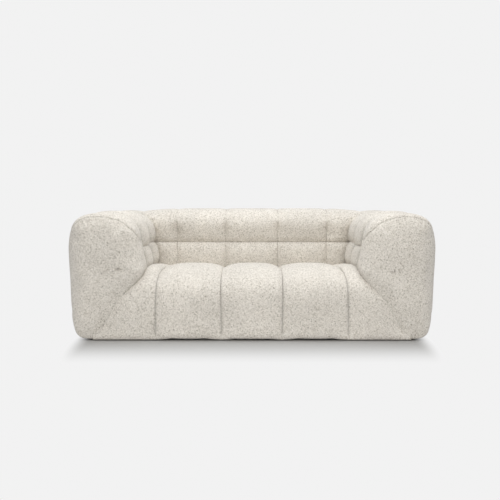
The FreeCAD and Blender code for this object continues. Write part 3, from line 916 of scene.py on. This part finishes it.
class SOFA_OT_arm_outsides(Operator):
    """Makes each arm's rear corner and its plain outside"""
    bl_idname = "sofa.arm_outsides"
    bl_label = "Arm outsides"

    def execute(self, context):
        sizes = context.scene.sofa_sizes
        front_seam, _, rear_seam = ARM_SEAMS
        seam = sizes.outer_seam_height
        outer = arm_share(seam, True)
        hem = arm_share(0.0, True)
        inner = arm_share(seam - 0.004, False)
        radius = EDGE_RADIUS
        length = (hem - outer) * arm_loop.length

        def outside_place(u, v):
            y = mix(front_seam, rear_seam, u)
            run = v * length
            sink = plain_sink(y - front_seam, rear_seam - y, run, sizes.outer_valley)
            return arm_point(mix(outer, hem, v), y, sink)

        both_arms("arm_{}_outside", (rear_seam - front_seam, length), outside_place, 0.5)

        arc = radius * math.pi / 2.0
        side = REAR - radius - rear_seam
        inner_edge = 0.88

        def rear_place(u, v):
            spot, heading = arm_loop.read(mix(outer, hem, v))
            outward = Vector((-heading.y, heading.x))
            level = max(spot.x, inner_edge + radius + 0.01)
            back = level - radius - inner_edge
            total = side + arc + back
            run = total * u
            down = v * length
            sink = plain_sink(run, total - run, down, sizes.outer_valley)
            if run < side:
                flat = spot - outward * sink
                return Vector((flat.x, rear_seam + run, flat.y))
            if run < side + arc:
                turn = (run - side) / radius
                reach = radius - sink
                return Vector((spot.x - radius + reach * math.cos(turn),
                               REAR - radius + reach * math.sin(turn), spot.y))
            return Vector((spot.x - radius - (run - side - arc), REAR - sink, spot.y))

        both_arms("arm_{}_outside_rear", (side + arc + 0.11, length), rear_place, 0.5)

        corner_length = (outer - inner) * arm_loop.length
        low_x, high_x = arm_loop.read(inner)[0].x, arm_loop.read(outer)[0].x

        def corner_place(u, v):
            """u runs from the side seam over the edge and down the rear face, v round the roll."""
            share = mix(inner, outer, v)
            spot, heading = arm_loop.read(share)
            outward = Vector((-heading.y, heading.x))
            rim_point = spot - outward * radius
            foot = Vector((mix(low_x + 0.01, high_x - 0.01, v), seam))
            if rim_point.y < seam:
                rim_point.y = seam
            drop = (rim_point - foot).length
            total = side + arc + drop
            run = total * u
            along = v * corner_length
            across = faded(sizes.arm_valley, corner_length - along)
            sink = together([across * groove(run, ARM_SHOULDER_REACH, ARM_ROUNDNESS),
                             sizes.outer_valley * groove(total - run, LEVEL_REACH),
                             sizes.outer_valley * groove(corner_length - along, LEVEL_REACH)])
            if run < side:
                flat = spot - outward * sink
                return settled(Vector((flat.x, rear_seam + run, flat.y)))
            if run < side + arc:
                turn = (run - side) / radius
                reach = radius - sink
                flat = spot - outward * radius + outward * (reach * math.cos(turn))
                flat.y = max(flat.y, seam - 0.002)
                return settled(Vector((flat.x, REAR - radius + reach * math.sin(turn), flat.y)))
            flat = rim_point.lerp(foot, (run - side - arc) / max(drop, 0.001))
            return settled(Vector((flat.x, REAR - sink, flat.y)))

        both_arms("arm_{}_rear_corner", (0.40, corner_length), corner_place, 0.75)
        return {"FINISHED"}


class SOFA_OT_outside_back(Operator):
    """Makes the plain outside of the back"""
    bl_idname = "sofa.outside_back"
    bl_label = "Outside back"

    def execute(self, context):
        sizes = context.scene.sofa_sizes
        half = 0.88
        top, hem = sizes.outer_seam_height, 0.006
        height = top - hem

        def place(u, v):
            x = mix(-half, half, u)
            run = v * height
            sink = together([PLAIN_SEAM * groove(half - abs(x), PLAIN_REACH),
                             sizes.outer_valley * groove(run, PLAIN_REACH),
                             0.012 * groove(height - run, 0.02)])
            return Vector((x, REAR - 0.002 - sink, top - run))

        grid_piece("outside_back", (2 * half, height), place, 0.4)
        return {"FINISHED"}


def rim_corners(data):
    """The corners on a mesh's open edges, in order."""
    uses = Counter(key for polygon in data.polygons for key in polygon.edge_keys)
    return sorted({corner for key, count in uses.items() if count == 1 for corner in key})


class SOFA_OT_stuff(Operator):
    """Fills the channels: cloth held at its seams is blown up by the stuffing, then the pads are closed"""
    bl_idname = "sofa.stuff"
    bl_label = "Stuff the channels"

    def execute(self, context):
        scene = context.scene
        sizes = scene.sofa_sizes
        pads = [piece for piece in scene.objects if "fill" in piece]
        stuffed = pads
        for pad in stuffed:
            self.add_cloth(pad, sizes)
        if stuffed:
            for step in range(1, sizes.stuffing_steps + 1):
                scene.frame_set(step)
            graph = context.evaluated_depsgraph_get()
            moved = {pad: [v.co.copy() for v in pad.evaluated_get(graph).data.vertices] for pad in stuffed}
            for pad, places in moved.items():
                pad.modifiers.clear()
                for vertex, place in zip(pad.data.vertices, places):
                    step = (place - vertex.co) * self.freedom(pad, vertex.co)
                    far = step.length
                    if far > 1e-9:
                        most = sizes.most_movement
                        vertex.co += step * (most * math.tanh(far / most) / far)
                    vertex.co.z = max(vertex.co.z, LOWEST)
            scene.frame_set(1)
        for pad in pads:
            if "front_panel" in pad.name:
                self.calm_centre(pad)
            self.shade_seams(pad)
        for pad in pads:
            wall = pad.modifiers.new("Wall", "SOLIDIFY")
            wall.thickness = sizes.pad_wall * (OUTSIDE_WALL if "outside" in pad.name else 1.0)
            wall.offset = -1.0
            wall.edge_crease_outer = sizes.seam_sharpness
            wall.edge_crease_inner = 1.0
            smooth = pad.modifiers.new("Smooth", "SUBSURF")
            smooth.levels = 1
            smooth.render_levels = 1
            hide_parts(pad["node"])
            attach(pad, "root")
        return {"FINISHED"}

    def freedom(self, pad, point):
        """The middle of a front panel, where its rings of mesh meet, stays as it is sewn."""
        if "front_panel" not in pad.name:
            return 1.0
        return ease((Vector((abs(point.x), point.z)) - PANEL_CENTRE).length / SEWN_REACH)

    def shade_seams(self, pad):
        """Stores painted shade for the points in a seam across the arm: the nearer a point lies to the seam,
        the darker the cloth is painted there.
        """
        layer = pad.data.attributes.new("seam", "FLOAT", "POINT")
        if pad.name.startswith("seat_"):
            self.shade_front_seams(pad, layer)
        if not pad.name.startswith("arm_") or "outside" in pad.name:
            return
        for vertex, stored in zip(pad.data.vertices, layer.data):
            near = min(abs(vertex.co.y - seam) for seam in ARM_SEAMS)
            dark = mix(*ARM_PAINTED_SHADES, ease((vertex.co.z - 0.58) / 0.10))
            dark = dark * ease((0.96 - abs(vertex.co.x)) / 0.10)
            stored.value = dark * math.exp(-(near / ARM_PAINTED_SHADE_WIDTH) ** 2)

    def shade_front_seams(self, pad, layer):
        """Paints shade as a thin dark line along the seams on the front of the seat."""
        rim = rim_corners(pad.data)
        near = kdtree.KDTree(len(rim))
        for index in rim:
            near.insert(pad.data.vertices[index].co, index)
        near.balance()
        for vertex, stored in zip(pad.data.vertices, layer.data):
            away = near.find(vertex.co)[2]
            front = ease((0.375 - vertex.co.z) / 0.06) * ease((vertex.co.z - 0.02) / 0.03)
            front *= ease((-0.30 - vertex.co.y) / 0.08)
            stored.value = SEAT_PAINTED_SHADE * front * math.exp(-(away / SEAT_PAINTED_SHADE_WIDTH) ** 2)

    def calm_centre(self, pad):
        """Smooths the middle of a front panel, where its rings of mesh meet."""
        mesh = bmesh.new()
        mesh.from_mesh(pad.data)
        centre = []
        for vertex in mesh.verts:
            flat = Vector((abs(vertex.co.x), vertex.co.z))
            if vertex.co.y < ARM_FACE + 0.01 and (flat - PANEL_CENTRE).length < CENTRE_REACH:
                centre.append(vertex)
        for _ in range(CENTRE_PASSES):
            bmesh.ops.smooth_vert(mesh, verts=centre, factor=0.5, use_axis_y=True)
        mesh.to_mesh(pad.data)
        mesh.free()

    def add_cloth(self, pad, sizes):
        """Cloth held at the pad's edges and pushed out by air."""
        held = pad.vertex_groups.new(name="seams")
        held.add(rim_corners(pad.data), 1.0, "REPLACE")
        cloth = pad.modifiers.new("Fabric", "CLOTH")
        settings = cloth.settings
        for key, value in CLOTH.items():
            setattr(settings, key, value)
        settings.uniform_pressure_force = sizes.pressure
        settings.shrink_min = -sizes.spare_cloth if pad["fill"] > 0.76 else 0.0
        settings.effector_weights.gravity = 0.0
        cloth.point_cache.frame_start = 1
        cloth.point_cache.frame_end = sizes.stuffing_steps


class SOFA_OT_stage(Operator):
    """Makes the floor, the lights and the camera"""
    bl_idname = "sofa.stage"
    bl_label = "Studio"

    def execute(self, context):
        scene = context.scene
        colours = scene.sofa_colours
        scene.view_settings.view_transform = "Standard"
        self.floor(colours)
        self.world(scene, colours)
        for lamp in LAMPS:
            self.lamp(scene, *lamp)
        self.camera(scene)
        return {"FINISHED"}

    def floor(self, colours):
        """A wide floor: near the sofa the camera sees its dark colour together with the real shadows, a
        painted darkening under and round the sofa that fades by distance into the pale backdrop colour away
        from it.
        """
        made, tree, shader = node_tree("floor", {"Roughness": 1.0, "Specular IOR Level": 0.0})
        seen = add_node(tree, "ShaderNodeLightPath").outputs["Is Camera Ray"]
        tone = add_node(tree, "ShaderNodeMix", {"data_type": "RGBA"}, {0: seen})
        tone.inputs[6].default_value = FLOOR_BOUNCE
        tone.inputs[7].default_value = (*colours.floor, 1.0)
        tree.links.new(tone.outputs[2], shader.inputs["Base Color"])
        # Mask of the painted shade: distance outside a box round the sofa, stretched across.
        away = own_place(tree)
        for operation, others in (("ABSOLUTE", {}), ("SUBTRACT", {1: SHADOW_HALF}),
                                  ("MAXIMUM", {}), ("MULTIPLY", {1: SHADOW_FADE})):
            away = combine(tree, "ShaderNodeVectorMath", operation, {0: away, **others}).outputs["Vector"]
        away = combine(tree, "ShaderNodeVectorMath", "LENGTH", {0: away}).outputs["Value"]
        far = remap(tree, away, 0.05, 0.55, 0.0, 1.0, "SMOOTHSTEP")
        share = maths(tree, "MULTIPLY", far, seen)
        glow = add_node(tree, "ShaderNodeEmission", {"Color": (*colours.backdrop, 1.0), "Strength": 1.0})
        surface(tree, "Material Output", share, shader.outputs["BSDF"], glow.outputs["Emission"])
        mesh = bmesh.new()
        bmesh.ops.create_grid(mesh, x_segments=8, y_segments=8, size=14.0)
        floor = add_object("floor", mesh, made)

    def world(self, scene, colours):
        """An even white sky that is seen as the backdrop."""
        world = bpy.data.worlds.new("studio")
        world.use_nodes = True
        scene.world = world
        tree = world.node_tree
        sky = tree.nodes["Background"]
        sky.inputs["Color"].default_value = (1.0, 1.0, 1.0, 1.0)
        sky.inputs["Strength"].default_value = SKY_STRENGTH
        seen = add_node(tree, "ShaderNodeLightPath").outputs["Is Camera Ray"]
        page = add_node(tree, "ShaderNodeBackground", {"Color": (*colours.backdrop, 1.0), "Strength": 1.0})
        surface(tree, "World Output", seen, sky.outputs["Background"], page.outputs["Background"])

    def lamp(self, scene, name, place, aim, size, power, colour):
        data = bpy.data.lights.new(name, "AREA")
        data.shape = "RECTANGLE"
        data.size, data.size_y = size
        data.energy = power
        data.color = colour
        lamp = bpy.data.objects.new(name, data)
        lamp.location = place
        lamp.rotation_euler = (Vector(aim) - Vector(place)).to_track_quat("-Z", "Y").to_euler()
        scene.collection.objects.link(lamp)

    def camera(self, scene):
        data = bpy.data.cameras.new("camera")
        data.sensor_width = 36.0
        data.lens = LENS
        camera = bpy.data.objects.new("camera", data)
        camera.location = (0.0, FRONT - CAMERA_AWAY, CAMERA_HEIGHT)
        camera.rotation_euler = (math.pi / 2.0 - PITCH_DOWN, 0.0, YAW)
        scene.collection.objects.link(camera)
        scene.camera = camera


class SOFA_PT_panel(Panel):
    """Lists the sofa's sizes, colours and steps"""
    bl_idname = "SOFA_PT_panel"
    bl_label = "Sofa"
    bl_space_type = "VIEW_3D"
    bl_region_type = "UI"
    bl_category = "Sofa"

    def draw(self, context):
        layout = self.layout
        for group in (context.scene.sofa_sizes, context.scene.sofa_colours):
            for key in group.__annotations__:
                layout.prop(group, key)
        for step in STEPS:
            layout.operator(step.bl_idname)


STEPS = (SOFA_OT_finishes, SOFA_OT_seat, SOFA_OT_back, SOFA_OT_arm_channels, SOFA_OT_arm_fronts,
         SOFA_OT_arm_outsides, SOFA_OT_outside_back, SOFA_OT_stuff, SOFA_OT_stage)
CLASSES = (SofaSizes, SofaColours) + STEPS + (SOFA_PT_panel,)


def register():
    for item in CLASSES:
        bpy.utils.register_class(item)
    bpy.types.Scene.sofa_sizes = PointerProperty(type=SofaSizes)
    bpy.types.Scene.sofa_colours = PointerProperty(type=SofaColours)


def unregister():
    del bpy.types.Scene.sofa_colours
    del bpy.types.Scene.sofa_sizes
    for item in reversed(CLASSES):
        bpy.utils.unregister_class(item)


def main():
    register()
    bpy.ops.sofa.finishes()
    bpy.ops.sofa.seat()
    bpy.ops.sofa.back()
    bpy.ops.sofa.arm_channels()
    bpy.ops.sofa.arm_fronts()
    bpy.ops.sofa.arm_outsides()
    bpy.ops.sofa.outside_back()
    bpy.ops.sofa.stuff()
    bpy.ops.sofa.stage()


if __name__ == "__main__":
    main()
